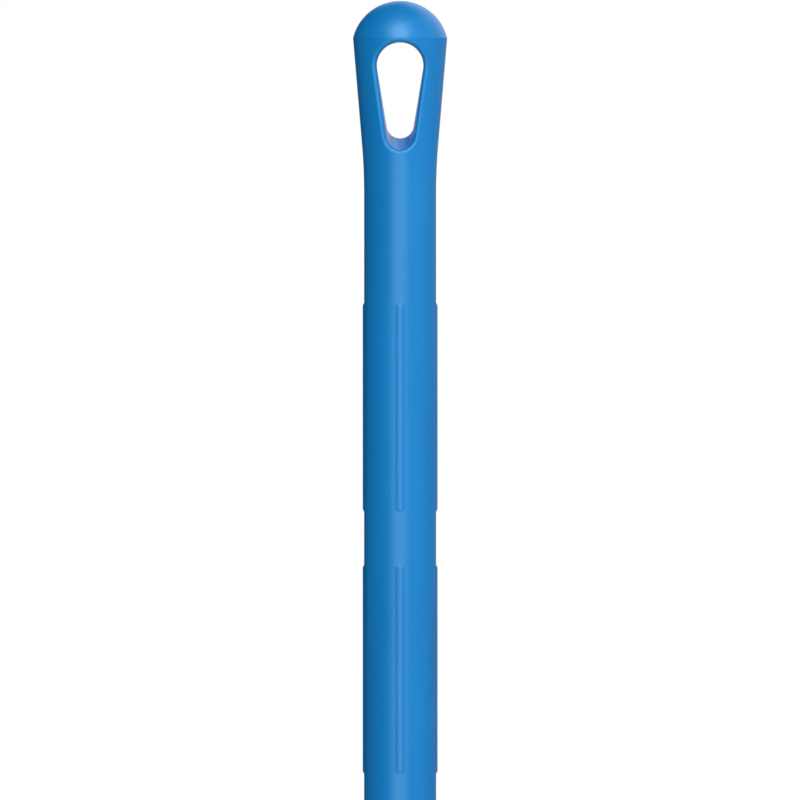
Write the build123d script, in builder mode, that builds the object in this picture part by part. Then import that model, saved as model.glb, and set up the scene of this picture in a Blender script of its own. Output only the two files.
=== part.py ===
"""Hygienic cleaning-tool handle: a coloured polypropylene handle over a reinforced core tube.

The handle stands upright with its axis on Z.  The tip of the thread is at Z = 0, the top of the
domed hanging end is at Z = overall_length, and the hanging eye runs through along Y.
All sizes are in millimetres.
"""
import os
from math import atan, degrees, radians, sqrt, tan

from build123d import *

os.makedirs("parts", exist_ok=True)

# ---------------------------------------------------------------- driving dimensions
# Whole handle
overall_length = 1500.0
shaft_diameter = 32.0

# Domed hanging end
dome_height = 16.5              # above the crease where the dome meets the flared neck
crease_diameter = 41.84
neck_length = 69.3              # from the crease down to the seam with the shaft
flare_blend_length = 11.1       # tangent length of the long arc that eases the flare into the shaft

# Teardrop hanging eye, measured on the middle plane of the handle
eye_below_crease = 1.9          # land between the dome's edge and the top of the eye
eye_upper_radius = 10.3
eye_lower_radius = 6.06
eye_height = 42.6
eye_side_draft = 0.5            # drafts open the eye towards both faces, in degrees
eye_top_draft = 0.5
eye_bottom_draft = 19.0
eye_foot_draft = 0.5            # growth of the lower arc's radius, in degrees
eye_overcut = 2.0               # how far the cut runs past the dome's own radius
eye_rim_chamfer = 1.0

# Grip ribs
rib_height = 0.62
rib_width = 5.8
rib_length = 93.7
rib_end_length = 2.0            # run-out at each end of a rib
rib_end_sink = 0.05             # how deep the run-out dives under the shaft's surface
rib_gap = 22.55
first_rib_drop = 133.5          # from the top of the dome to the first rib
plain_lower_length = 40.0       # least plain shaft between the last rib and the collar
ribs_around = 4

# Shaft skin over the reinforced core tube
skin_wall = 3.0
core_wall = 2.5

# Spigots that plug the core tube, their seals and lock pins
upper_spigot_length = 50.0
lower_spigot_length = 60.0
spigot_lead_in = 1.5
seal_height = 3.0               # along the handle, squeezed
seal_depth = 1.9                # across the groove, squeezed
seal_setback = 9.0              # from the mouth of the tube to the middle of the seal
lock_pin_diameter = 4.0
lock_pin_chamfer = 0.4
upper_pin_setback = 30.0        # from the mouth of the tube to the pin
lower_pin_setback = 35.0

# Threaded end
collar_length = 20.0
collar_edge_chamfer = 1.2
pilot_length = 10.0
pilot_over_thread = 0.4         # radius of the plain neck over the thread's crest
thread_length = 28.0
thread_crest_diameter = 22.4
thread_depth = 1.7
thread_pitch = 4.6
thread_crest_width = 1.3
thread_flank_angle = 30.0
thread_root_sink = 0.2          # how far the ridge is rooted in the core of the thread
tip_chamfer = 2.0

# Clearances
bond_clearance = 0.05           # core tube in its skin, spigots in the tube
seal_clearance = 0.02           # seal to the tube and to the floor of its groove
groove_clearance = 0.2          # above and below the seal
pin_clearance = 0.03
pin_end_clearance = 0.2         # pin end to the outside of the tube

# ---------------------------------------------------------------- sizes worked out from them
shaft_radius = shaft_diameter / 2
crease_radius = crease_diameter / 2
dome_sphere_radius = (crease_radius**2 + dome_height**2) / (2 * dome_height)
crease_z = overall_length - dome_height
upper_seam_z = crease_z - neck_length
flare_angle = degrees(atan((crease_radius - shaft_radius) / (neck_length - flare_blend_length)))
flare_blend_radius = flare_blend_length / tan(radians(flare_angle / 2))

eye_top_z = crease_z - eye_below_crease
eye_bottom_z = eye_top_z - eye_height
eye_cut_depth = dome_sphere_radius + eye_overcut

core_radius = shaft_radius - skin_wall
core_bore_radius = core_radius - core_wall
spigot_radius = core_bore_radius - bond_clearance
seal_groove_radius = core_bore_radius - seal_depth - 2 * seal_clearance
seal_middle_radius = core_bore_radius - seal_clearance - seal_depth / 2
seal_groove_half = seal_height / 2 + groove_clearance
pin_hole_radius = lock_pin_diameter / 2 + pin_clearance
lock_pin_length = 2 * (core_radius - pin_end_clearance)

thread_crest_radius = thread_crest_diameter / 2
thread_root_radius = thread_crest_radius - thread_depth
pilot_radius = thread_crest_radius + pilot_over_thread
shoulder_z = thread_length + pilot_length
lower_seam_z = shoulder_z + collar_length

upper_seal_z = upper_seam_z - seal_setback
lower_seal_z = lower_seam_z + seal_setback
upper_pin_z = upper_seam_z - upper_pin_setback
lower_pin_z = lower_seam_z + lower_pin_setback

rib_pitch = rib_length + rib_gap
first_rib_z = overall_length - first_rib_drop
rib_run = first_rib_z - lower_seam_z - plain_lower_length
rib_bands = int((rib_run - rib_length) // rib_pitch) + 1


# ---------------------------------------------------------------- hanging_end
def eye_section(side, depth):
    """Teardrop outline of the eye at a depth from the middle plane, on the front or back side."""
    upper_radius = eye_upper_radius + depth * tan(radians(eye_side_draft))
    lower_radius = eye_lower_radius + depth * tan(radians(eye_foot_draft))
    top = eye_top_z + depth * tan(radians(eye_top_draft))
    bottom = eye_bottom_z - depth * tan(radians(eye_bottom_draft))
    with BuildSketch(Plane.XZ.offset(side * depth)) as section:
        with Locations((0, top - upper_radius)):
            Circle(upper_radius)
        with Locations((0, bottom + lower_radius)):
            Circle(lower_radius)
        make_hull()
    return section.sketch


def spigot_outline(mouth_z, away, length):
    """Half outline of a spigot with its seal groove; away is the way it points along Z."""
    seal_z = mouth_z + away * seal_setback
    end_z = mouth_z + away * length
    Polyline(
        (0, mouth_z),
        (spigot_radius, mouth_z),
        (spigot_radius, seal_z - away * seal_groove_half),
        (seal_groove_radius, seal_z - away * seal_groove_half),
        (seal_groove_radius, seal_z + away * seal_groove_half),
        (spigot_radius, seal_z + away * seal_groove_half),
        (spigot_radius, end_z - away * spigot_lead_in),
        (spigot_radius - spigot_lead_in, end_z),
        (0, end_z),
        close=True,
    )


with BuildPart() as hanging_end:
    # Dome, straight flare and the long arc into the shaft, turned as one profile
    with BuildSketch(Plane.XZ):
        with BuildLine():
            blend = JernArc((shaft_radius, upper_seam_z), (0, 1), flare_blend_radius, -flare_angle)
            Line(blend @ 1, (crease_radius, crease_z))
            RadiusArc((crease_radius, crease_z), (0, overall_length), -dome_sphere_radius)
            Line((0, overall_length), (0, upper_seam_z))
            Line((0, upper_seam_z), blend @ 0)
        make_face()
    revolve(axis=Axis.Z)
    # The eye opens from the middle plane towards both faces
    for side in (1, -1):
        loft(
            sections=[eye_section(side, 0), eye_section(side, eye_cut_depth)],
            ruled=True,
            mode=Mode.SUBTRACT,
        )
    rim_edges = hanging_end.edges().filter_by(GeomType.BSPLINE)
    rim_edges = rim_edges.filter_by(lambda edge: abs(edge.center().Y) > eye_lower_radius)
    chamfer(rim_edges, eye_rim_chamfer)
    # Spigot into the core tube, cross-drilled for its lock pin
    with BuildSketch(Plane.XZ):
        with BuildLine():
            spigot_outline(upper_seam_z, -1, upper_spigot_length)
        make_face()
    revolve(axis=Axis.Z)
    with BuildSketch(Plane.YZ.offset(-shaft_radius)):
        with Locations((0, upper_pin_z)):
            Circle(pin_hole_radius)
    extrude(amount=shaft_diameter, mode=Mode.SUBTRACT)
hanging_end.part.label = "hanging_end"
export_step(hanging_end.part, "parts/hanging_end.step")


# ---------------------------------------------------------------- shaft_skin
# A grip rib is the outside of a round bar with coned ends that lies along the shaft, mostly sunk in
# the skin.  Where the cone runs out into the shaft it leaves the rib a rounded end.
rib_base_depth = shaft_radius - sqrt(shaft_radius**2 - (rib_width / 2) ** 2)
rib_rise = rib_height + rib_base_depth
rib_bar_radius = ((rib_width / 2) ** 2 + rib_rise**2) / (2 * rib_rise)
rib_bar_offset = shaft_radius + rib_height - rib_bar_radius

with BuildPart() as rib_bar:
    Cylinder(rib_bar_radius, rib_length)
    chamfer(rib_bar.edges().filter_by(GeomType.CIRCLE), rib_end_length, rib_height + rib_end_sink)

with BuildPart() as shaft_skin:
    with BuildSketch(Plane.XY.offset(lower_seam_z)):
        Circle(shaft_radius)
    extrude(amount=upper_seam_z - lower_seam_z)
    with Locations([(0, 0, first_rib_z - rib_length / 2 - band * rib_pitch) for band in range(rib_bands)]):
        with PolarLocations(rib_bar_offset, ribs_around):
            add(rib_bar.part)
    with BuildSketch(Plane.XY.offset(lower_seam_z)):
        Circle(core_radius + bond_clearance)
    extrude(amount=upper_seam_z - lower_seam_z, mode=Mode.SUBTRACT)
shaft_skin.part.label = "shaft_skin"
export_step(shaft_skin.part, "parts/shaft_skin.step")


# ---------------------------------------------------------------- core_tube
with BuildPart() as core_tube:
    with BuildSketch(Plane.XY.offset(lower_seam_z)):
        Circle(core_radius)
        Circle(core_bore_radius, mode=Mode.SUBTRACT)
    extrude(amount=upper_seam_z - lower_seam_z)
    with BuildSketch(Plane.YZ.offset(-core_radius)):
        with Locations((0, upper_pin_z), (0, lower_pin_z)):
            Circle(pin_hole_radius)
    extrude(amount=2 * core_radius, mode=Mode.SUBTRACT)
core_tube.part.label = "core_tube"
export_step(core_tube.part, "parts/core_tube.step")


# ---------------------------------------------------------------- upper_seal_ring, lower_seal_ring
with BuildPart() as upper_seal_ring:
    with BuildSketch(Plane.XZ):
        with Locations((seal_middle_radius, upper_seal_z)):
            Rectangle(seal_depth, seal_height)
    revolve(axis=Axis.Z)
upper_seal_ring.part.label = "upper_seal_ring"
export_step(upper_seal_ring.part, "parts/upper_seal_ring.step")

with BuildPart() as lower_seal_ring:
    with BuildSketch(Plane.XZ):
        with Locations((seal_middle_radius, lower_seal_z)):
            Rectangle(seal_depth, seal_height)
    revolve(axis=Axis.Z)
lower_seal_ring.part.label = "lower_seal_ring"
export_step(lower_seal_ring.part, "parts/lower_seal_ring.step")


# ---------------------------------------------------------------- upper_lock_pin, lower_lock_pin
with BuildPart() as upper_lock_pin:
    with BuildSketch(Plane.YZ.offset(-lock_pin_length / 2)):
        with Locations((0, upper_pin_z)):
            Circle(lock_pin_diameter / 2)
    extrude(amount=lock_pin_length)
    chamfer(upper_lock_pin.edges().filter_by(GeomType.CIRCLE), lock_pin_chamfer)
upper_lock_pin.part.label = "upper_lock_pin"
export_step(upper_lock_pin.part, "parts/upper_lock_pin.step")

with BuildPart() as lower_lock_pin:
    with BuildSketch(Plane.YZ.offset(-lock_pin_length / 2)):
        with Locations((0, lower_pin_z)):
            Circle(lock_pin_diameter / 2)
    extrude(amount=lock_pin_length)
    chamfer(lower_lock_pin.edges().filter_by(GeomType.CIRCLE), lock_pin_chamfer)
lower_lock_pin.part.label = "lower_lock_pin"
export_step(lower_lock_pin.part, "parts/lower_lock_pin.step")


# ---------------------------------------------------------------- thread_end
ridge_half_crest = thread_crest_width / 2
ridge_half_root = ridge_half_crest + (thread_depth + thread_root_sink) * tan(radians(thread_flank_angle))

with BuildPart() as thread_end:
    with BuildSketch(Plane.XY):
        Circle(thread_root_radius)
    extrude(amount=shoulder_z)
    # Coarse ridge, swept a turn past both ends of the thread
    with BuildLine():
        ridge_path = Helix(
            thread_pitch, thread_length + 2 * thread_pitch, thread_root_radius, center=(0, 0, -thread_pitch)
        )
    with BuildSketch(Plane(ridge_path @ 0, x_dir=(1, 0, 0), z_dir=ridge_path % 0)):
        with BuildLine():
            Polyline(
                (-thread_root_sink, -ridge_half_root),
                (thread_depth, -ridge_half_crest),
                (thread_depth, ridge_half_crest),
                (-thread_root_sink, ridge_half_root),
                close=True,
            )
        make_face()
    sweep(path=ridge_path, is_frenet=True)
    # Blank of the thread, with its chamfered tip
    with BuildSketch(Plane.XZ):
        with BuildLine():
            Polyline(
                (0, 0),
                (thread_crest_radius - tip_chamfer, 0),
                (pilot_radius, tip_chamfer + pilot_over_thread),
                (pilot_radius, shoulder_z),
                (0, shoulder_z),
                close=True,
            )
        make_face()
    revolve(axis=Axis.Z, mode=Mode.INTERSECT)
    # Plain pilot neck, and the collar whose shoulder a tool head seats on
    with BuildSketch(Plane.XY.offset(thread_length)):
        Circle(pilot_radius)
    extrude(amount=pilot_length)
    with BuildSketch(Plane.XY.offset(shoulder_z)):
        Circle(shaft_radius)
    extrude(amount=collar_length)
    collar_edges = thread_end.edges().filter_by(GeomType.CIRCLE)
    collar_edges = collar_edges.filter_by(lambda edge: abs(edge.radius - shaft_radius) < 0.001)
    chamfer(
        collar_edges.sort_by(Axis.Z)[0],
        min(collar_edge_chamfer, 0.6 * (shaft_radius - pilot_radius)),
    )
    # Spigot into the core tube, cross-drilled for its lock pin
    with BuildSketch(Plane.XZ):
        with BuildLine():
            spigot_outline(lower_seam_z, 1, lower_spigot_length)
        make_face()
    revolve(axis=Axis.Z)
    with BuildSketch(Plane.YZ.offset(-shaft_radius)):
        with Locations((0, lower_pin_z)):
            Circle(pin_hole_radius)
    extrude(amount=shaft_diameter, mode=Mode.SUBTRACT)
thread_end.part.label = "thread_end"
export_step(thread_end.part, "parts/thread_end.step")
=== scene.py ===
from math import acos, asin, atan2, cos, hypot, inf, pi, radians, sin, sqrt, tan

import bmesh
import bpy
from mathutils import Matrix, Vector


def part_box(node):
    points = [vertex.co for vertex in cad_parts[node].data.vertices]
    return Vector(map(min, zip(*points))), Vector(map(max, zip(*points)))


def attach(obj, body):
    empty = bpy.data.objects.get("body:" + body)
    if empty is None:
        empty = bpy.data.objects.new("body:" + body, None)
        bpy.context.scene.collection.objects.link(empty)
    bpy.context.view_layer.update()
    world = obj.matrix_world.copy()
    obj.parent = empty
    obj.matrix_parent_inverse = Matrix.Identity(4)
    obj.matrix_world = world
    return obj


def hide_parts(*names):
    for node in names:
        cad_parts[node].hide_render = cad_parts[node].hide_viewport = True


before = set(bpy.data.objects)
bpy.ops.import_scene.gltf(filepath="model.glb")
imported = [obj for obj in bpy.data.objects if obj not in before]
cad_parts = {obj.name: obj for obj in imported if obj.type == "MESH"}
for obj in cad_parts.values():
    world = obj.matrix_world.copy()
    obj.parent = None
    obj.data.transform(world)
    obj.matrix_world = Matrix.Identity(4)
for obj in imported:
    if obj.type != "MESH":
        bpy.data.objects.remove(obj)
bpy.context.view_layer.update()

# Straight after loading, before any piece is made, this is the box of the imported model.
HEAD_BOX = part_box("hanging_end")
SKIN_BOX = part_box("shaft_skin")

bl_info = {
    "name": "Cleaning-tool handle",
    "version": (1, 0, 0),
    "blender": (4, 5, 0),
    "location": "View3D > Sidebar > Handle",
    "description": "Moulded polypropylene handle with a hanging eye, grip ribs and a coarse thread",
    "category": "Add Mesh",
}

MM = 0.001
# Points closer together than this are one: in a finished piece, and where copies meet.
MERGE_DISTANCE = 2e-6
COPY_DISTANCE = 0.01 * MM
SMOOTH_ANGLE = radians(30)
PIN_HOLE_STEPS = 48


def length(name, description, millimetres):
    """A size in metres that the user can change, from its default in millimetres."""
    return bpy.props.FloatProperty(
        name=name,
        description=description,
        default=millimetres * MM,
        min=0.0,
        unit="LENGTH",
        precision=5,
    )


def angle(name, description, degrees):
    """An angle that the user can change, from its default in degrees."""
    return bpy.props.FloatProperty(
        name=name, description=description, default=radians(degrees), unit="ROTATION"
    )


def count(name, description, number):
    """A number of steps or of things that the user can change."""
    return bpy.props.IntProperty(name=name, description=description, default=number, min=1)


def colour(name, description, rgb):
    """A colour that the user can change."""
    return bpy.props.FloatVectorProperty(
        name=name, description=description, default=rgb, subtype="COLOR", min=0.0, max=1.0
    )


def share(name, description, value):
    """A share from 0 to 1 that the user can change."""
    return bpy.props.FloatProperty(
        name=name, description=description, default=value, min=0.0, max=1.0, subtype="FACTOR"
    )


# ---------------------------------------------------------------------------------------- sizes
class HandleHeadSizes(bpy.types.PropertyGroup):
    shaft_radius: length("Shaft radius", "Outside of the plain shaft", 16.0)
    crease_radius: length("Crease radius", "Where the dome meets the flared neck", 20.92)
    dome_height: length("Dome height", "From the crease to the top", 16.5)
    blend_length: length(
        "Blend length", "Tangent length of the arc between shaft and flare", 11.1
    )
    crease_round: length("Crease rounding", "Radius of the edge between dome and neck", 0.5)
    eye_drop: length("Eye below crease", "Down to the top of the eye, on the middle plane", 1.9)
    eye_height: length("Eye height", "On the middle plane", 42.6)
    eye_upper_radius: length("Eye upper radius", "Wide upper arc, on the middle plane", 10.3)
    eye_lower_radius: length("Eye lower radius", "Narrow lower arc, on the middle plane", 6.06)
    side_draft: angle("Side draft", "How the upper arc widens towards both faces", 0.5)
    foot_draft: angle("Foot draft", "How the lower arc widens towards both faces", 0.5)
    top_draft: angle("Top draft", "How the top of the eye rises towards both faces", 0.5)
    bottom_draft: angle("Bottom draft", "How the foot of the eye falls to both faces", 19.0)
    rim_radius: length("Rim radius", "Rounding of the eye's rim", 1.5)


class HandleSpigotSizes(bpy.types.PropertyGroup):
    radius: length("Spigot radius", "Plugs the core tube", 10.45)
    upper_length: length("Upper spigot length", "Below the hanging end", 50.0)
    lower_length: length("Lower spigot length", "Above the threaded end", 60.0)
    lead_in: length("Lead-in", "Chamfer of the spigot's end", 1.5)
    groove_radius: length("Groove floor radius", "Floor of the seal's groove", 8.56)
    groove_height: length("Groove height", "Along the handle", 3.4)
    seal_setback: length("Seal setback", "From the tube's mouth to the middle of the seal", 9.0)
    pin_hole_radius: length("Pin hole radius", "Cross hole for the lock pin", 2.03)
    upper_pin_setback: length("Upper pin setback", "From the tube's mouth to the pin", 30.0)
    lower_pin_setback: length("Lower pin setback", "From the tube's mouth to the pin", 35.0)


class HandleSkinSizes(bpy.types.PropertyGroup):
    bore_radius: length("Bore radius", "Inside of the skin", 13.05)
    side_rib_height: length("Side rib height", "Of the left and right ribs, above the shaft", 0.62)
    face_rib_height: length("Face rib height", "Of the front and back ribs, above the shaft", 0.32)
    crest_half_width: length("Half crest width", "Flat crest of a rib, from its middle", 0.1)
    rib_reach: length("Rib reach", "From the crest of a rib to where its flanks die out", 2.05)
    rib_end: length("Rib end", "From the crest of a rib to where its ends die out", 1.45)
    rib_length: length("Rib length", "From end to end", 92.9)
    rib_gap: length("Rib gap", "Plain shaft between two bands of ribs", 23.35)
    first_rib_drop: length("First rib drop", "From the top of the dome to the ribs", 133.85)
    row_step: length("Row step", "Spacing of the mesh rows at a rib's ends", 0.45)
    bands: count("Bands", "Bands of ribs along the shaft", 11)


class HandleThreadSizes(bpy.types.PropertyGroup):
    thread_length: length("Thread length", "From the tip to the plain neck", 28.0)
    pilot_length: length("Pilot length", "Plain neck between thread and collar", 10.0)
    crest_radius: length("Crest radius", "Outside of the thread", 11.2)
    depth: length("Thread depth", "From crest to root", 1.7)
    pitch: length("Pitch", "From one turn to the next", 4.6)
    crest_width: length("Crest width", "Flat between the flanks", 1.3)
    flank: angle("Flank angle", "From the plane across the handle", 30.0)
    crest_round: length("Crest rounding", "Radius of the thread's edges", 0.4)
    root_round: length("Root rounding", "Radius where the flanks meet the core", 0.35)
    tip_chamfer: length("Tip chamfer", "At the end of the thread", 2.0)
    pilot_radius: length("Pilot radius", "Plain neck above the thread", 11.6)
    pilot_round: length("Pilot rounding", "Lower edge of the plain neck", 0.3)
    shoulder_round: length("Shoulder rounding", "Where the neck meets the collar", 0.5)
    collar_round: length("Collar rounding", "Lower edge of the collar", 1.2)


class HandleFinish(bpy.types.PropertyGroup):
    plastic: colour("Polypropylene", "Colour of the moulded plastic", (0.002, 0.22, 0.6))
    plastic_sheen: colour("Sheen", "Tint of the plastic's reflections", (0.75, 1.0, 1.0))
    plastic_roughness: share("Plastic roughness", "Semi-gloss moulded skin", 0.36)
    composite: colour("Composite", "Glass-fibre core tube", (0.57, 0.53, 0.38))
    rubber: colour("Rubber", "Seal rings", (0.012, 0.012, 0.014))
    steel: colour("Steel", "Lock pins", (0.56, 0.57, 0.58))


class HandleStage(bpy.types.PropertyGroup):
    lens: bpy.props.FloatProperty(
        name="Lens",
        description="A long lens flattens the view",
        default=1300.0,
        subtype="DISTANCE_CAMERA",
    )
    view_height: length("View height", "Height of the frame at the handle", 355.0)
    aim_height: length("Aim height", "Centre of the frame", 1322.9)
    aim_side: bpy.props.FloatProperty(
        name="Aim side",
        description="Centre of the frame, to the right",
        default=-0.053 * MM,
        unit="LENGTH",
        precision=6,
    )
    floor_size: length("Floor size", "Side of the square floor", 60000.0)
    floor: colour("Floor", "Pale floor", (0.82, 0.82, 0.82))
    room_light: share("Room light", "Strength of the light from all round", 0.2)


# ---------------------------------------------------------------------------- modelling helpers
def deselect_everything():
    bpy.ops.object.select_all(action="DESELECT")


def make_active(piece):
    deselect_everything()
    piece.select_set(True)
    bpy.context.view_layer.objects.active = piece


def select_parts(piece, kind, wanted):
    """Selects, in edit mode, only those of the piece's verts, edges or faces that pass a test."""
    bpy.ops.mesh.select_all(action="DESELECT")
    mesh = bmesh.from_edit_mesh(piece.data)
    for part in getattr(mesh, kind):
        if wanted(part):
            part.select = True
    mesh.select_flush_mode()


def draw_line(name, points):
    """Draws edges from point to point by extruding one vertex, and stays in edit mode."""
    deselect_everything()
    bpy.ops.mesh.primitive_plane_add(size=1 * MM)
    piece = bpy.context.active_object
    piece.name = piece.data.name = name
    bpy.ops.object.mode_set(mode="EDIT")
    bpy.ops.mesh.select_mode(type="VERT")
    bpy.ops.mesh.select_all(action="SELECT")
    bpy.ops.mesh.merge(type="CENTER")
    points = [Vector(point) for point in points]
    bpy.ops.transform.translate(value=points[0])
    for start, end in zip(points, points[1:]):
        bpy.ops.mesh.extrude_region_move(TRANSFORM_OT_translate={"value": end - start})
    return piece


def clean_up():
    """Merges doubles and turns all faces outwards, in edit mode."""
    bpy.ops.mesh.select_all(action="SELECT")
    bpy.ops.mesh.remove_doubles(threshold=MERGE_DISTANCE)
    bpy.ops.mesh.normals_make_consistent(inside=False)
    bpy.ops.mesh.select_all(action="DESELECT")


def turn_profile(name, profile, steps):
    """Turns a half outline of (radius, height) points round the handle's axis."""
    piece = draw_line(name, [(radius, 0, height) for radius, height in profile])
    bpy.ops.mesh.select_all(action="SELECT")
    bpy.ops.mesh.spin(steps=steps, angle=2 * pi, center=(0, 0, 0), axis=(0, 0, 1))
    clean_up()
    bpy.ops.object.mode_set(mode="OBJECT")
    return piece


def combine(piece, other, operation):
    """Cuts, joins or crosses the piece with another solid, which is used up."""
    make_active(piece)
    bpy.ops.object.modifier_add(type="BOOLEAN")
    modifier = piece.modifiers[-1]
    modifier.operation, modifier.solver, modifier.object = operation, "EXACT", other
    bpy.ops.object.modifier_apply(modifier=modifier.name)
    bpy.data.objects.remove(other)


def drill_pin_hole(piece, height, radius, reach):
    """Cross hole for a lock pin, along X."""
    deselect_everything()
    bpy.ops.mesh.primitive_cylinder_add(
        vertices=PIN_HOLE_STEPS,
        radius=radius,
        depth=2 * reach,
        location=(0, 0, height),
        rotation=(0, pi / 2, 0),
    )
    combine(piece, bpy.context.active_object, "DIFFERENCE")


def finish_plastic(piece, node):
    """Shades the piece, gives it its plastic and lets it stand for its CAD node."""
    make_active(piece)
    bpy.ops.object.transform_apply(location=True, rotation=True, scale=True)
    bpy.ops.object.shade_smooth_by_angle(angle=SMOOTH_ANGLE)
    bpy.ops.object.modifier_add(type="WEIGHTED_NORMAL")
    modifier = piece.modifiers[-1]
    modifier.keep_sharp = True
    bpy.ops.object.modifier_apply(modifier=modifier.name)
    piece.data.materials.clear()
    piece.data.materials.append(moulded_plastic())
    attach(piece, "root")
    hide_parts(node)


def arc_points(centre, radius, start, end, steps):
    """Points of an arc in the half outline's plane; angles are up from the outward direction."""
    angles = [start + (end - start) * i / steps for i in range(steps + 1)]
    return [(centre[0] + radius * cos(up), centre[1] + radius * sin(up)) for up in angles]


def round_corner(before, corner, after, radius, steps):
    """Points of the arc that rounds the corner of a half outline."""
    corner, before, after = Vector(corner), Vector(before), Vector(after)
    back, on = (before - corner).normalized(), (after - corner).normalized()
    half = acos(max(-1.0, min(1.0, back.dot(on)))) / 2
    reach = radius / tan(half)
    middle = corner + (back + on).normalized() * radius / sin(half)
    first, last = corner + back * reach - middle, corner + on * reach - middle
    return [tuple(middle + radius * first.slerp(last, i / steps)) for i in range(steps + 1)]


def spigot_profile(sizes, mouth, away, spigot_length):
    """Half outline of a spigot, from its end on the axis to the mouth of the tube."""
    end = mouth + away * spigot_length
    seal = mouth + away * sizes.seal_setback
    half = sizes.groove_height / 2
    return [
        (0, end),
        (sizes.radius - sizes.lead_in, end),
        (sizes.radius, end - away * sizes.lead_in),
        (sizes.radius, seal + away * half),
        (sizes.groove_radius, seal + away * half),
        (sizes.groove_radius, seal - away * half),
        (sizes.radius, seal - away * half),
        (sizes.radius, mouth),
    ]


# ---------------------------------------------------------------------------------- hanging end
# Shares of one turn round the eye: its upper arc, each of its straight sides and its lower arc.
UPPER_ARC = 0.45
STRAIGHT_SIDE = 0.13
LOWER_ARC = 0.29
# How often a guess is improved: of where wall and neck meet, and of the rounding's middle.
RIM_GUESSES = 12
CENTRE_GUESSES = 30
# Moves that give the wall's slope. Smaller ones would drown in the precision of coordinates.
SLOPE_STEP = 1 * MM
SLOPE_TURN = 0.001
# Strip of the neck that is left between the cut and the rim's rounding.
LAND = 0.12 * MM
# The cutter reaches this many times the crease's radius from the middle plane on each side. Its
# cut is looked for within a share of the shaft's radius from the axis, among faces whose normals
# have less than the tilt along Y.
CUTTER_REACH = 1.5
CUT_WIDTH = 0.9
CUT_TILT = 0.02


class HeadShape:
    """Where the dome, the flared neck and the walls of the eye lie, worked out from the sizes."""

    def __init__(self, sizes):
        self.sizes = sizes
        self.top = HEAD_BOX[1].z
        self.seam = SKIN_BOX[1].z
        self.crease = self.top - sizes.dome_height
        self.sphere = (sizes.crease_radius**2 + sizes.dome_height**2) / (2 * sizes.dome_height)
        straight = self.crease - self.seam - sizes.blend_length
        self.flare = atan2(sizes.crease_radius - sizes.shaft_radius, straight)
        self.blend = sizes.blend_length / tan(self.flare / 2)
        self.blend_top = self.seam + self.blend * sin(self.flare)

    def neck_radius(self, height):
        """Radius of the neck at a height."""
        if height >= self.blend_top:
            return self.sizes.crease_radius - (self.crease - height) * tan(self.flare)
        rise = max(height - self.seam, 0.0)
        return self.sizes.shaft_radius + self.blend - sqrt(self.blend**2 - rise**2)

    def neck_lean(self, height):
        """Lean of the neck's side from the axis, as an angle."""
        if height >= self.blend_top:
            return self.flare
        return asin(max(height - self.seam, 0.0) / self.blend)

    def neck_normal(self, point):
        """Direction that the neck's surface faces next to a point."""
        lean = self.neck_lean(point.z)
        around = atan2(point.y, point.x)
        return Vector((cos(around) * cos(lean), sin(around) * cos(lean), -sin(lean)))

    def neck_distance(self, point):
        """How far a point lies under the neck's surface."""
        gap = self.neck_radius(point.z) - hypot(point.x, point.y)
        return gap * cos(self.neck_lean(point.z))

    def eye_wall(self, turn, depth):
        """Point (x, z) of the eye's wall, from the share of a turn round it and the depth.

        The depth is measured from the middle plane.
        """
        sizes = self.sizes
        upper = sizes.eye_upper_radius + depth * tan(sizes.side_draft)
        lower = sizes.eye_lower_radius + depth * tan(sizes.foot_draft)
        top = self.crease - sizes.eye_drop + depth * tan(sizes.top_draft)
        fall = depth * tan(sizes.bottom_draft)
        bottom = self.crease - sizes.eye_drop - sizes.eye_height - fall
        high, low = top - upper, bottom + lower
        lean = asin((upper - lower) / (high - low))
        left_end = UPPER_ARC + STRAIGHT_SIDE
        right_start = left_end + LOWER_ARC
        turn %= 1.0
        if turn < UPPER_ARC:
            swing = -lean + (pi + 2 * lean) * turn / UPPER_ARC
            return Vector((upper * cos(swing), high + upper * sin(swing)))
        if left_end <= turn < right_start:
            swing = pi + lean + (pi - 2 * lean) * (turn - left_end) / LOWER_ARC
            return Vector((lower * cos(swing), low + lower * sin(swing)))
        if turn < left_end:
            side, part = -1, (turn - UPPER_ARC) / STRAIGHT_SIDE
        else:
            side, part = 1, 1 - (turn - right_start) / STRAIGHT_SIDE
        start = Vector((side * upper * cos(lean), high - upper * sin(lean)))
        end = Vector((side * lower * cos(lean), low - lower * sin(lean)))
        return start.lerp(end, part)

    def rim_fillet(self, turn, side):
        """Middle of the rim's rounding, and the directions that neck and wall face beside it.

        The side is -1 for the front and 1 for the back.
        """
        depth = self.sizes.crease_radius
        for _ in range(RIM_GUESSES):
            wall = self.eye_wall(turn, depth)
            depth = sqrt(max(self.neck_radius(wall[1]) ** 2 - wall[0] ** 2, 0.0))
        ahead = self.eye_wall(turn + SLOPE_TURN, depth)
        behind = self.eye_wall(turn - SLOPE_TURN, depth)
        deeper = self.eye_wall(turn, depth - SLOPE_STEP)
        along = Vector((ahead[0] - behind[0], 0, ahead[1] - behind[1]))
        inward = Vector((deeper[0] - wall[0], -side * SLOPE_STEP, deeper[1] - wall[1]))
        wall_normal = along.cross(inward).normalized()
        middle = Vector((0, 0, self.crease - self.sizes.eye_drop - self.sizes.eye_height / 2))
        rim = Vector((wall[0], side * depth, wall[1]))
        if wall_normal.dot(middle - Vector((rim.x, 0, rim.z))) < 0:
            wall_normal.negate()
        radius = self.sizes.rim_radius
        centre = rim.copy()
        for _ in range(CENTRE_GUESSES):
            centre -= self.neck_normal(centre) * (radius - self.neck_distance(centre))
            centre -= wall_normal * (radius - (rim - centre).dot(wall_normal))
        return centre, self.neck_normal(centre), wall_normal


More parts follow.
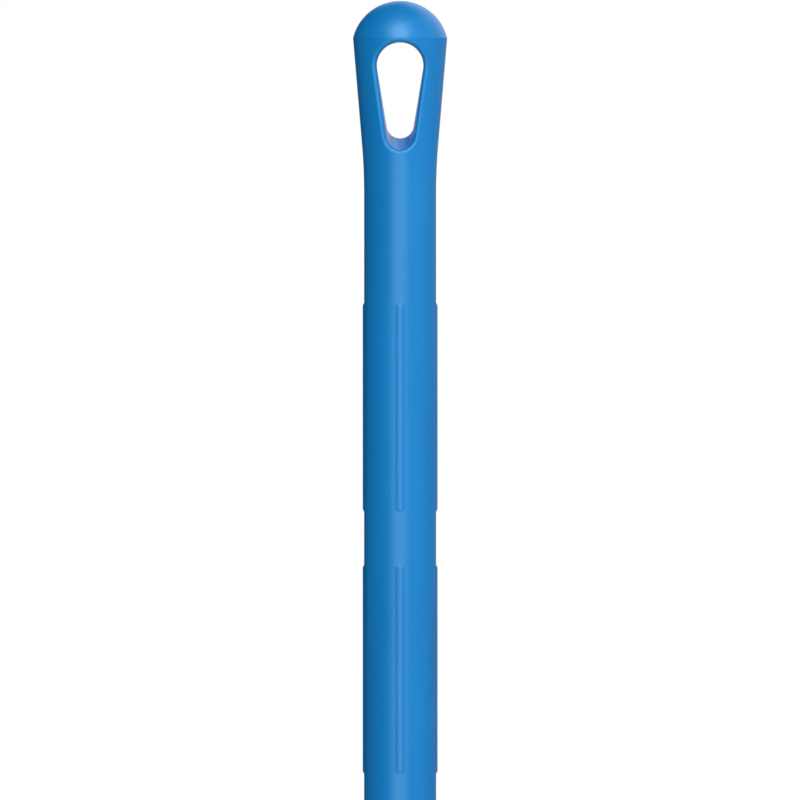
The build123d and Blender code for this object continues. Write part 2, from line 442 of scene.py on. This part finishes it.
def nearest_turn(outline, point):
    """Turn at which a point lies on the closed outline of (turn, x, z)."""
    nearest = (inf, 0.0)
    for (turn, x, z), (next_turn, next_x, next_z) in zip(outline, outline[1:] + outline[:1]):
        run = Vector((next_x - x, next_z - z))
        away = Vector((point.x - x, point.z - z))
        part = max(0.0, min(1.0, away.dot(run) / run.length_squared))
        gap = hypot(point.x - x - run[0] * part, point.z - z - run[1] * part)
        if gap < nearest[0]:
            nearest = (gap, turn + ((next_turn - turn) % 1.0) * part)
    return nearest[1]


class HANDLE_OT_hanging_end(bpy.types.Operator):
    """Model the domed hanging end with its drafted teardrop eye and its spigot"""

    bl_idname = "handle.hanging_end"
    bl_label = "Hanging end"

    segments: count("Segments", "Steps once round the handle", 192)
    blend_steps: count("Blend steps", "Rows of faces between shaft and flare", 10)
    crease_steps: count("Crease steps", "Rows of faces across the crease's rounding", 4)
    dome_steps: count("Dome steps", "Rows of faces up the dome", 30)
    outline_points: count("Outline points", "Points once round the eye", 132)
    rim_steps: count("Rim steps", "Rows of faces across the rim's rounding", 7)

    def execute(self, context):
        sizes, spigot = context.scene.handle_head, context.scene.handle_spigot
        shape = HeadShape(sizes)
        piece = turn_profile("hanging_end_moulding", self.profile(shape, spigot), self.segments)
        self.open_eye(piece, shape)
        pin = shape.seam - spigot.upper_pin_setback
        drill_pin_hole(piece, pin, spigot.pin_hole_radius, sizes.shaft_radius)
        finish_plastic(piece, "hanging_end")
        return {"FINISHED"}

    def profile(self, shape, spigot):
        """Half outline from the spigot's end on the axis up to the top of the dome."""
        sizes = shape.sizes
        points = spigot_profile(spigot, shape.seam, -1, spigot.upper_length)
        for i in range(self.blend_steps + 1):
            height = shape.seam + (shape.blend_top - shape.seam) * i / self.blend_steps
            points.append((shape.neck_radius(height), height))
        # the crease is an edge with a small rounding, tangent to the neck and to the dome
        centre_height = shape.top - shape.sphere
        edge = asin((shape.crease - centre_height) / shape.sphere)
        reach = sizes.crease_round * tan((edge + shape.flare) / 2)
        low_radius = sizes.crease_radius - reach * sin(shape.flare)
        low_height = shape.crease - reach * cos(shape.flare)
        centre = (
            low_radius - sizes.crease_round * cos(shape.flare),
            low_height + sizes.crease_round * sin(shape.flare),
        )
        points += arc_points(centre, sizes.crease_round, -shape.flare, edge, self.crease_steps)
        start = asin((points[-1][1] - centre_height) / shape.sphere)
        dome = arc_points((0, centre_height), shape.sphere, start, pi / 2, self.dome_steps)
        return points + dome[1:-1] + [(0, shape.top)]

    def open_eye(self, piece, shape):
        """Cuts the eye and draws its rounded rim and drafted walls in from both faces."""
        outline = []
        for i in range(self.outline_points):
            turn = i / self.outline_points
            centre, neck_normal, wall_normal = shape.rim_fillet(turn, -1)
            foot = centre + shape.sizes.rim_radius * neck_normal
            outward = neck_normal * wall_normal.dot(neck_normal) - wall_normal
            foot += outward.normalized() * LAND
            outline.append((turn, foot.x, foot.z))
        reach = CUTTER_REACH * shape.sizes.crease_radius
        cutter = draw_line("eye_cutter", [(x, -reach, z) for _, x, z in outline])
        bpy.ops.mesh.select_all(action="SELECT")
        bpy.ops.mesh.edge_face_add()
        bpy.ops.mesh.extrude_region_move(TRANSFORM_OT_translate={"value": (0, 2 * reach, 0)})
        clean_up()
        bpy.ops.object.mode_set(mode="OBJECT")
        combine(piece, cutter, "DIFFERENCE")

        def is_cut(face):
            """The straight walls of the cut lie within the eye's band and face sideways."""
            middle = face.calc_center_median()
            near = abs(middle.x) < CUT_WIDTH * shape.sizes.shaft_radius
            return near and shape.seam < middle.z < shape.crease and abs(face.normal.y) < CUT_TILT

        bpy.ops.object.mode_set(mode="EDIT")
        bpy.ops.mesh.select_mode(type="FACE")
        select_parts(piece, "faces", is_cut)
        bpy.ops.mesh.delete(type="FACE")
        bpy.ops.mesh.select_mode(type="EDGE")
        for side in (-1, 1):
            self.draw_wall(piece, shape, side, outline)
        clean_up()
        bpy.ops.object.mode_set(mode="OBJECT")

    def draw_wall(self, piece, shape, side, outline):
        """Extrudes the cut's edge on one side, ring by ring, round the rim to the middle plane."""

        def is_rim(edge):
            """The open edges on this side; those of the other wall lie in the middle plane."""
            return edge.is_boundary and all(vertex.co.y * side > 0 for vertex in edge.verts)

        select_parts(piece, "edges", is_rim)
        mesh = bmesh.from_edit_mesh(piece.data)
        ring = [vertex.co for vertex in mesh.verts if vertex.select]
        turns = {tuple(place): nearest_turn(outline, place) for place in ring}
        for row in range(self.rim_steps + 2):
            bpy.ops.mesh.extrude_edges_move()
            turns = self.place_ring(piece, shape, side, row, turns)

    def place_ring(self, piece, shape, side, row, turns):
        """Moves the ring that was just extruded to its row, the last one to the middle plane.

        The turns round the eye are looked up by place, and come back for the ring's new places.
        """
        mesh = bmesh.from_edit_mesh(piece.data)
        ring = [vertex for vertex in mesh.verts if vertex.select]
        new_turns = {}
        for vertex in ring:
            turn = turns[tuple(vertex.co)]
            if row > self.rim_steps:
                x, z = shape.eye_wall(turn, 0.0)
                vertex.co = (x, 0.0, z)
            else:
                centre, neck_normal, wall_normal = shape.rim_fillet(turn, side)
                normal = neck_normal.slerp(wall_normal, row / self.rim_steps)
                vertex.co = centre + shape.sizes.rim_radius * normal
            new_turns[tuple(vertex.co)] = turn
        bmesh.update_edit_mesh(piece.data)
        return new_turns


# ----------------------------------------------------------------------------------- shaft skin
# A point on the edge of the quarter that a rib stands on still counts as inside.
QUARTER = pi / 4 + 1e-4
# How far the close rows of a rib's end go on, out beyond the end and in along the crest.
ROWS_OUT = 0.4 * MM
ROWS_IN = 0.8 * MM


class HANDLE_OT_shaft_skin(bpy.types.Operator):
    """Model the shaft's skin: a side rib and a front rib, copied round the shaft and along it"""

    bl_idname = "handle.shaft_skin"
    bl_label = "Shaft skin"

    segments: count("Segments", "Steps once round the handle", 192)

    def execute(self, context):
        radius, skin = context.scene.handle_head.shaft_radius, context.scene.handle_skin
        piece = self.rib_tile(radius, skin, skin.side_rib_height)
        bpy.ops.transform.rotate(value=pi / 2, orient_axis="Z", center_override=(0, 0, 0))
        bpy.ops.object.mode_set(mode="OBJECT")
        front = self.rib_tile(radius, skin, skin.face_rib_height)
        bpy.ops.object.mode_set(mode="OBJECT")
        make_active(piece)
        front.select_set(True)
        bpy.ops.object.join()
        piece.name = piece.data.name = "shaft_skin_moulding"
        bpy.ops.object.mode_set(mode="EDIT")
        bpy.ops.mesh.select_all(action="SELECT")
        bpy.ops.mesh.duplicate()
        bpy.ops.transform.rotate(value=pi, orient_axis="Z", center_override=(0, 0, 0))
        bpy.ops.mesh.select_all(action="SELECT")
        pitch = skin.rib_length + skin.rib_gap
        for _ in range(skin.bands - 1):
            bpy.ops.mesh.duplicate_move(TRANSFORM_OT_translate={"value": (0, 0, -pitch)})
        bpy.ops.mesh.select_all(action="SELECT")
        bpy.ops.mesh.remove_doubles(threshold=COPY_DISTANCE)
        self.close_ends(piece, skin.bore_radius / radius)
        clean_up()
        bpy.ops.object.mode_set(mode="OBJECT")
        finish_plastic(piece, "shaft_skin")
        return {"FINISHED"}

    def rib_tile(self, radius, skin, rib_height):
        """A front quarter of the shaft, as high as the top band, with one rib raised on it.

        It stays in edit mode, all selected.
        """
        deselect_everything()
        bpy.ops.mesh.primitive_circle_add(vertices=self.segments, radius=radius)
        piece = bpy.context.active_object
        bpy.ops.object.mode_set(mode="EDIT")
        bpy.ops.mesh.select_mode(type="VERT")
        select_parts(piece, "verts", lambda v: abs(atan2(v.co.x, -v.co.y)) > QUARTER)
        bpy.ops.mesh.delete(type="VERT")
        bpy.ops.mesh.select_all(action="SELECT")

        # rows: close together where the rib ends, far apart where nothing changes. The ends are
        # drawn as long as the flanks are wide, and are pushed together once the rib is raised
        middle = HEAD_BOX[1].z - skin.first_rib_drop - skin.rib_length / 2
        crest = skin.rib_length / 2 - skin.rib_end
        squeeze = skin.rib_end / skin.rib_reach
        close_rows = [crest + skin.rib_reach + ROWS_OUT]
        while close_rows[-1] > crest - ROWS_IN:
            close_rows.append(close_rows[-1] - skin.row_step)
        edge = crest + ((skin.rib_length + skin.rib_gap) / 2 - crest) / squeeze
        upper = close_rows[::-1] + [edge]
        rows = [-row for row in reversed(upper)] + upper
        bpy.ops.transform.translate(value=(0, 0, middle + rows[0]))
        for low, high in zip(rows, rows[1:]):
            rise = {"value": (0, 0, high - low)}
            bpy.ops.mesh.extrude_region_move(TRANSFORM_OT_translate=rise)

        def on_crest(vertex):
            """A rib's crest runs up the middle of the quarter, and stops where its ends begin."""
            x, _, z = vertex.co
            return abs(x) < skin.crest_half_width and abs(z - middle) < crest

        # the crest is pulled out of the shaft, and its surroundings follow
        select_parts(piece, "verts", on_crest)
        bpy.ops.transform.translate(
            value=(0, -rib_height, 0),
            use_proportional_edit=True,
            proportional_edit_falloff="INVERSE_SQUARE",
            proportional_size=skin.rib_reach,
        )
        for side in (-1, 1):
            select_parts(piece, "verts", lambda v: (v.co.z - middle) * side > crest)
            end = (0, 0, middle + side * crest)
            bpy.ops.transform.resize(value=(1, 1, squeeze), center_override=end)
        bpy.ops.mesh.select_all(action="SELECT")
        return piece

    def close_ends(self, piece, narrowing):
        """Draws the plain ends out to the seams, turns them in to the bore and bridges it."""
        bpy.ops.mesh.select_mode(type="EDGE")
        heights = [vertex.co.z for vertex in bmesh.from_edit_mesh(piece.data).verts]
        for level, seam in ((min(heights), SKIN_BOX[0].z), (max(heights), SKIN_BOX[1].z)):
            select_parts(
                piece,
                "edges",
                lambda edge: all(abs(v.co.z - level) < COPY_DISTANCE for v in edge.verts),
            )
            bpy.ops.mesh.extrude_edges_move(TRANSFORM_OT_translate={"value": (0, 0, seam - level)})
            bpy.ops.mesh.extrude_edges_move()
            bpy.ops.transform.resize(
                value=(narrowing, narrowing, 1), center_override=(0, 0, seam)
            )
        select_parts(piece, "edges", lambda edge: edge.is_boundary)
        bpy.ops.mesh.bridge_edge_loops()


# ----------------------------------------------------------------------------------- thread end
# The thread is drawn with turns to spare, from this many pitches below the tip, and is cut
# square just below the tip and inside the pilot neck. The blank then shapes the tip, and by its
# margin is wider and higher than the rest.
SPARE_TURNS = 4
PITCHES_BELOW = 1.5
CUT_BELOW = 0.3 * MM
CUT_ABOVE = 2 * MM
BLANK_MARGIN = 1 * MM


class HANDLE_OT_thread_end(bpy.types.Operator):
    """Model the threaded end with its pilot neck, its collar and its spigot"""

    bl_idname = "handle.thread_end"
    bl_label = "Threaded end"

    segments: count("Segments", "Steps once round the handle", 192)
    thread_steps: count("Thread steps", "Steps in one turn of the thread", 96)
    root_steps: count("Root steps", "Faces across the rounding of the thread's root", 3)
    edge_steps: count("Edge steps", "Faces across the rounding of a small edge", 4)
    collar_steps: count("Collar steps", "Faces across the collar's rounding", 6)

    def execute(self, context):
        head, spigot = context.scene.handle_head, context.scene.handle_spigot
        sizes = context.scene.handle_thread
        piece = self.thread(sizes)
        combine(piece, self.blank(sizes), "INTERSECT")
        combine(piece, self.collar(sizes, spigot, head.shaft_radius), "UNION")
        pin = SKIN_BOX[0].z + spigot.lower_pin_setback
        drill_pin_hole(piece, pin, spigot.pin_hole_radius, head.shaft_radius)
        bpy.ops.object.mode_set(mode="EDIT")
        clean_up()
        bpy.ops.object.mode_set(mode="OBJECT")
        piece.name = piece.data.name = "thread_end_moulding"
        finish_plastic(piece, "thread_end")
        return {"FINISHED"}

    def ridge(self, sizes):
        """Half outline of one turn: root, flank, rounded crest, flank, root."""
        root = sizes.crest_radius - sizes.depth
        half_crest = sizes.crest_width / 2
        half_foot = half_crest + sizes.depth * tan(sizes.flank)
        valley, foot = (root, -sizes.pitch / 2), (root, -half_foot)
        edge, middle = (sizes.crest_radius, -half_crest), (sizes.crest_radius, 0)
        # the lower half is drawn from the root to the crest, and the upper half is its mirror
        lower = [valley]
        lower += round_corner(valley, foot, edge, sizes.root_round, self.root_steps)
        lower += round_corner(foot, edge, middle, sizes.crest_round, self.edge_steps)
        return lower + [(radius, -height) for radius, height in reversed(lower)]

    def thread(self, sizes):
        """A solid helical thread, cut square at both ends."""
        start = -PITCHES_BELOW * sizes.pitch
        outline = [(radius, 0, start + height) for radius, height in self.ridge(sizes)]
        piece = draw_line("thread", outline)
        bpy.ops.object.mode_set(mode="OBJECT")
        bpy.ops.object.modifier_add(type="SCREW")
        screw = piece.modifiers[-1]
        screw.axis, screw.angle, screw.screw_offset = "Z", 2 * pi, sizes.pitch
        screw.iterations = int(sizes.thread_length // sizes.pitch) + SPARE_TURNS
        screw.steps = screw.render_steps = self.thread_steps
        bpy.ops.object.modifier_apply(modifier=screw.name)
        bpy.ops.object.mode_set(mode="EDIT")
        bpy.ops.mesh.select_all(action="SELECT")
        bpy.ops.mesh.remove_doubles(threshold=COPY_DISTANCE)
        for height, below in ((-CUT_BELOW, True), (sizes.thread_length + CUT_ABOVE, False)):
            bpy.ops.mesh.select_all(action="SELECT")
            bpy.ops.mesh.bisect(
                plane_co=(0, 0, height),
                plane_no=(0, 0, 1),
                use_fill=True,
                clear_inner=below,
                clear_outer=not below,
                threshold=MERGE_DISTANCE,
            )
        clean_up()
        bpy.ops.object.mode_set(mode="OBJECT")
        return piece

    def blank(self, sizes):
        """Envelope of the thread with its chamfered tip."""
        tip = sizes.crest_radius - sizes.tip_chamfer
        wide = sizes.pilot_radius + BLANK_MARGIN
        high = sizes.thread_length + CUT_ABOVE + BLANK_MARGIN
        profile = [(0, 0), (tip, 0), (wide, wide - tip), (wide, high), (0, high)]
        return turn_profile("thread_blank", profile, self.segments)

    def collar(self, sizes, spigot, shaft_radius):
        """Pilot neck, shoulder, rounded collar and spigot, turned as one profile."""
        seam = SKIN_BOX[0].z
        start = (0, sizes.thread_length)
        neck = (sizes.pilot_radius, sizes.thread_length)
        shoulder = (sizes.pilot_radius, sizes.thread_length + sizes.pilot_length)
        edge = (shaft_radius, sizes.thread_length + sizes.pilot_length)
        top = (shaft_radius, seam)
        points = [start]
        points += round_corner(start, neck, shoulder, sizes.pilot_round, self.edge_steps)
        points += round_corner(neck, shoulder, edge, sizes.shoulder_round, self.edge_steps)
        points += round_corner(shoulder, edge, top, sizes.collar_round, self.collar_steps)
        points += [top, *reversed(spigot_profile(spigot, seam, 1, spigot.lower_length))]
        return turn_profile("collar", points, self.segments)


# ------------------------------------------------------------------------------------- finishes
def node_material(name):
    """A material with its nodes, its surface shader and the object's own coordinates."""
    material = bpy.data.materials.new(name)
    material.use_nodes = True
    shader = material.node_tree.nodes["Principled BSDF"]
    place = material.node_tree.nodes.new("ShaderNodeTexCoord")
    return material, material.node_tree, shader, place.outputs["Object"]


def noise(tree, place, scale, detail, roughness=0.5, stretch=None):
    """Noise on the object's coordinates; stretch multiplies them in x, y and z."""
    texture = tree.nodes.new("ShaderNodeTexNoise")
    texture.inputs["Scale"].default_value = scale
    texture.inputs["Detail"].default_value = detail
    texture.inputs["Roughness"].default_value = roughness
    if stretch:
        mapping = tree.nodes.new("ShaderNodeMapping")
        mapping.inputs["Scale"].default_value = stretch
        tree.links.new(place, mapping.inputs["Vector"])
        place = mapping.outputs["Vector"]
    tree.links.new(place, texture.inputs["Vector"])
    return texture.outputs["Fac"]


def remap(tree, value, low=0, high=1, reach=(0.3, 0.7)):
    """The value's reach drawn out to go from low to high. Noise mostly lies from 0.3 to 0.7."""
    node = tree.nodes.new("ShaderNodeMapRange")
    node.inputs["From Min"].default_value, node.inputs["From Max"].default_value = reach
    node.inputs["To Min"].default_value, node.inputs["To Max"].default_value = low, high
    tree.links.new(value, node.inputs["Value"])
    return node.outputs["Result"]


def vary_colour(tree, shader, factor, first, second):
    """Blends the base colour from the first to the second colour by a factor."""
    node = tree.nodes.new("ShaderNodeMix")
    node.data_type = "RGBA"
    node.inputs["A"].default_value = (*first, 1)
    node.inputs["B"].default_value = (*second, 1)
    tree.links.new(factor, node.inputs["Factor"])
    tree.links.new(node.outputs["Result"], shader.inputs["Base Color"])


def raise_surface(tree, shader, height, distance, strength):
    """Bumps the surface by a height that goes from 0 to 1, over a distance in metres."""
    node = tree.nodes.new("ShaderNodeBump")
    node.inputs["Distance"].default_value = distance
    node.inputs["Strength"].default_value = strength
    tree.links.new(height, node.inputs["Height"])
    tree.links.new(node.outputs["Normal"], shader.inputs["Normal"])


def toned(rgb, factor):
    """A colour made darker or lighter by a factor."""
    return tuple(min(1.0, factor * value) for value in rgb)


def moulded_plastic():
    """Semi-gloss polypropylene with a faint moulded grain and slow drifts of colour."""
    material = bpy.data.materials.get("moulded_polypropylene")
    if material:
        return material
    finish = bpy.context.scene.handle_finish
    material, tree, shader, place = node_material("moulded_polypropylene")
    drift = remap(tree, noise(tree, place, scale=60, detail=2, stretch=(1, 1, 0.2)))
    vary_colour(tree, shader, drift, toned(finish.plastic, 0.96), toned(finish.plastic, 1.04))
    rough = finish.plastic_roughness
    patches = noise(tree, place, scale=350, detail=3)
    roughness = remap(tree, patches, low=rough - 0.02, high=rough + 0.02)
    tree.links.new(roughness, shader.inputs["Roughness"])
    grain = noise(tree, place, scale=2600, detail=2)
    raise_surface(tree, shader, grain, distance=0.02 * MM, strength=0.12)
    shader.inputs["Specular Tint"].default_value = (*finish.plastic_sheen, 1)
    shader.inputs["IOR"].default_value = 1.49
    return material


def glass_fibre(finish):
    """Pulled glass-fibre composite with streaks along the tube."""
    material, tree, shader, place = node_material("glass_fibre_composite")
    streaks = noise(tree, place, scale=900, detail=3, roughness=0.6, stretch=(1, 1, 0.02))
    factor = remap(tree, streaks)
    vary_colour(tree, shader, factor, toned(finish.composite, 0.82), finish.composite)
    tree.links.new(remap(tree, streaks, low=0.42, high=0.6), shader.inputs["Roughness"])
    raise_surface(tree, shader, streaks, distance=0.03 * MM, strength=0.4)
    return material


def seal_rubber(finish):
    """Matt black rubber with a powdery bloom."""
    material, tree, shader, place = node_material("seal_rubber")
    bloom = remap(tree, noise(tree, place, scale=1200, detail=4))
    vary_colour(tree, shader, bloom, finish.rubber, toned(finish.rubber, 1.8))
    patches = noise(tree, place, scale=700, detail=2)
    tree.links.new(remap(tree, patches, low=0.62, high=0.78), shader.inputs["Roughness"])
    return material


def ground_steel(finish):
    """Ground stainless steel, with its marks round the pin."""
    material, tree, shader, place = node_material("ground_stainless_steel")
    marks = noise(tree, place, scale=6000, detail=2, stretch=(1, 0.06, 0.06))
    vary_colour(tree, shader, remap(tree, marks), toned(finish.steel, 0.9), finish.steel)
    tree.links.new(remap(tree, marks, low=0.22, high=0.36), shader.inputs["Roughness"])
    shader.inputs["Metallic"].default_value = 1.0
    return material


class HANDLE_OT_inner_parts(bpy.types.Operator):
    """Finish the parts inside: core tube, seal rings and lock pins"""

    bl_idname = "handle.inner_parts"
    bl_label = "Inner parts"

    def execute(self, context):
        finish = context.scene.handle_finish
        tube, rubber, steel = glass_fibre(finish), seal_rubber(finish), ground_steel(finish)
        for node, material in {
            "core_tube": tube,
            "upper_seal_ring": rubber,
            "lower_seal_ring": rubber,
            "upper_lock_pin": steel,
            "lower_lock_pin": steel,
        }.items():
            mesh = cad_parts[node].data
            mesh.materials.clear()
            mesh.materials.append(material)
        return {"FINISHED"}


# ---------------------------------------------------------------------------------------- stage
# Lamps and cards face this place on the handle's axis, in metres.
AIM = Vector((0, 0, 1.3))
# Name, azimuth and elevation as seen from that place in degrees, distance, width and height in
# metres and power in watts; the last says whether a lamp shows in reflections.
LAMPS = (
    ("key_box", 0, 50, 2.0, 1.5, 1.5, 20, True),
    ("front_box", -2, -2, 2.0, 1.7, 2.2, 15, True),
    ("rim_box", 143, 32, 1.3, 1.1, 1.1, 2.0, True),
    ("side_light", 65, 15, 1.4, 1.4, 1.4, 7.5, False),
    ("back_light", 180, 25, 2.0, 1.5, 2.0, 30, False),
)
# The same for the cards, which only show in reflections, with their glow for a power.
CARDS = (
    ("key_card", 0, 48, 2.1, 1.4, 1.5, 3.4),
    ("front_card", -1, -2, 2.1, 1.2, 2.2, 1.5),
    ("left_card", -73, 20, 1.5, 3.1, 5.2, 0.0),
    ("back_left_card", -142, 20, 1.5, 1.3, 5.2, 0.0),
    ("back_high_card", 180, 62, 1.7, 2.6, 1.4, 0.0),
    ("top_card", -90, 84, 1.6, 1.6, 2.1, 0.0),
    ("right_low_card", 95, -10, 1.7, 8.4, 1.9, 0.23),
    ("right_high_card", 80, 45, 1.5, 2.4, 1.3, 0.55),
    ("rim_card", 146, 34, 1.5, 1.2, 1.0, 0.6),
)
# The floor lies this far under the handle's tip. Its glow for the camera goes from the first to
# the second strength between two distances from the handle, in metres.
FLOOR_GAP = 0.2 * MM
FLOOR_GLOW = (0.45, 1.0)
FLOOR_FADE = (0.5, 2.5)
# Width of the camera's sensor in millimetres, and the reach of its sight in metres.
SENSOR = 36.0
NEAREST = 0.1
FARTHEST = 200.0
WHITE = (1, 1, 1, 1)
BLACK = (0, 0, 0, 1)


def calculate(tree, operation, first, second):
    """Works out one number from two."""
    node = tree.nodes.new("ShaderNodeMath")
    node.operation = operation
    tree.links.new(first, node.inputs[0])
    tree.links.new(second, node.inputs[1])
    return node.outputs["Value"]


def facing_aim(around, above, distance):
    """A place, from azimuth and elevation in degrees, and the turn that faces the aim there."""
    flat = cos(radians(above))
    away = Vector(
        (sin(radians(around)) * flat, -cos(radians(around)) * flat, sin(radians(above)))
    )
    return AIM + distance * away, (-away).to_track_quat("-Z", "Y").to_euler()


class HANDLE_OT_stage(bpy.types.Operator):
    """Set the pale floor, the soft lamps, the white surroundings and the camera"""

    bl_idname = "handle.stage"
    bl_label = "Stage"

    def execute(self, context):
        stage = context.scene.handle_stage
        context.scene.view_settings.view_transform = "Standard"
        self.floor(stage)
        self.world(context.scene, stage)
        for lamp in LAMPS:
            self.lamp(*lamp)
        for card in CARDS:
            self.card(*card)
        self.camera(context.scene, stage)
        return {"FINISHED"}

    def floor(self, stage):
        """To the camera it fades into the white surroundings, but it keeps the handle's shadow."""
        deselect_everything()
        bpy.ops.mesh.primitive_plane_add(size=stage.floor_size, location=(0, 0, -FLOOR_GAP))
        plane = bpy.context.active_object
        plane.name = plane.data.name = "floor"
        material, tree, shader, place = node_material("pale_floor")
        drift = remap(tree, noise(tree, place, scale=3, detail=2))
        vary_colour(tree, shader, drift, toned(stage.floor, 0.985), stage.floor)
        shader.inputs["Roughness"].default_value = 0.9
        shader.inputs["Specular IOR Level"].default_value = 0.1
        shader.inputs["Emission Color"].default_value = WHITE
        distance = tree.nodes.new("ShaderNodeVectorMath")
        distance.operation = "LENGTH"
        tree.links.new(place, distance.inputs[0])
        fade = remap(tree, distance.outputs["Value"], *FLOOR_GLOW, reach=FLOOR_FADE)
        seen = tree.nodes.new("ShaderNodeLightPath").outputs["Is Camera Ray"]
        glow = calculate(tree, "MULTIPLY", fade, seen)
        tree.links.new(glow, shader.inputs["Emission Strength"])
        plane.data.materials.append(material)

    def world(self, scene, stage):
        """Soft light from all round, and white where camera or reflection looks past the floor."""
        scene.world = world = bpy.data.worlds.new("studio")
        world.use_nodes = True
        tree = world.node_tree
        tree.nodes.clear()
        soft, white = (tree.nodes.new("ShaderNodeBackground") for _ in range(2))
        soft.inputs["Color"].default_value = white.inputs["Color"].default_value = WHITE
        soft.inputs["Strength"].default_value = stage.room_light
        rays = tree.nodes.new("ShaderNodeLightPath").outputs
        looks = calculate(tree, "MAXIMUM", rays["Is Camera Ray"], rays["Is Glossy Ray"])
        looks = calculate(tree, "MAXIMUM", looks, rays["Is Transmission Ray"])
        mix = tree.nodes.new("ShaderNodeMixShader")
        output = tree.nodes.new("ShaderNodeOutputWorld")
        tree.links.new(looks, mix.inputs["Fac"])
        tree.links.new(soft.outputs["Background"], mix.inputs[1])
        tree.links.new(white.outputs["Background"], mix.inputs[2])
        tree.links.new(mix.outputs["Shader"], output.inputs["Surface"])

    def lamp(self, name, around, above, distance, width, height, power, shows):
        """A soft area lamp, which the camera never sees and reflections only where it shows."""
        deselect_everything()
        place, turn = facing_aim(around, above, distance)
        bpy.ops.object.light_add(type="AREA", location=place, rotation=turn)
        lamp = bpy.context.active_object
        lamp.name = lamp.data.name = name
        lamp.data.shape, lamp.data.size, lamp.data.size_y = "RECTANGLE", width, height
        lamp.data.energy = power
        lamp.visible_camera, lamp.visible_glossy = False, shows

    def card(self, name, around, above, distance, width, height, glow):
        """A glowing or black card that only shows in reflections."""
        deselect_everything()
        place, turn = facing_aim(around, above, distance)
        bpy.ops.mesh.primitive_plane_add(size=1, location=place, rotation=turn)
        card = bpy.context.active_object
        card.name = card.data.name = name
        card.scale = (width, height, 1)
        material, _, shader, _ = node_material(name)
        shader.inputs["Base Color"].default_value = BLACK
        shader.inputs["Specular IOR Level"].default_value = 0.0
        shader.inputs["Emission Color"].default_value = WHITE
        shader.inputs["Emission Strength"].default_value = glow
        card.data.materials.append(material)
        card.visible_camera = card.visible_diffuse = False
        card.visible_shadow = card.visible_transmission = False

    def camera(self, scene, stage):
        """Looks straight at the handle's front from far away."""
        deselect_everything()
        away = stage.view_height * stage.lens / SENSOR
        bpy.ops.object.camera_add(
            location=(stage.aim_side, -away, stage.aim_height), rotation=(pi / 2, 0, 0)
        )
        camera = bpy.context.active_object
        camera.data.sensor_width, camera.data.lens = SENSOR, stage.lens
        camera.data.clip_start, camera.data.clip_end = NEAREST, FARTHEST
        scene.camera = camera


# --------------------------------------------------------------------------------------- add-on
OPERATORS = (
    HANDLE_OT_hanging_end,
    HANDLE_OT_shaft_skin,
    HANDLE_OT_thread_end,
    HANDLE_OT_inner_parts,
    HANDLE_OT_stage,
)
GROUPS = {
    "handle_head": HandleHeadSizes,
    "handle_spigot": HandleSpigotSizes,
    "handle_skin": HandleSkinSizes,
    "handle_thread": HandleThreadSizes,
    "handle_finish": HandleFinish,
    "handle_stage": HandleStage,
}


class HANDLE_PT_panel(bpy.types.Panel):
    """Lists the steps that make the handle, and its sizes"""

    bl_idname = "HANDLE_PT_panel"
    bl_label = "Cleaning-tool handle"
    bl_space_type = "VIEW_3D"
    bl_region_type = "UI"
    bl_category = "Handle"

    def draw(self, context):
        for operator in OPERATORS:
            self.layout.operator(operator.bl_idname)
        for attribute in GROUPS:
            box = self.layout.box()
            group = getattr(context.scene, attribute)
            for name in group.__annotations__:
                box.prop(group, name)


def register():
    for cls in (*GROUPS.values(), *OPERATORS, HANDLE_PT_panel):
        bpy.utils.register_class(cls)
    for attribute, group in GROUPS.items():
        setattr(bpy.types.Scene, attribute, bpy.props.PointerProperty(type=group))


def unregister():
    for attribute in GROUPS:
        delattr(bpy.types.Scene, attribute)
    for cls in (HANDLE_PT_panel, *reversed(OPERATORS), *reversed(tuple(GROUPS.values()))):
        bpy.utils.unregister_class(cls)


def main():
    register()
    bpy.ops.handle.hanging_end()
    bpy.ops.handle.shaft_skin()
    bpy.ops.handle.thread_end()
    bpy.ops.handle.inner_parts()
    bpy.ops.handle.stage()


if __name__ == "__main__":
    main()
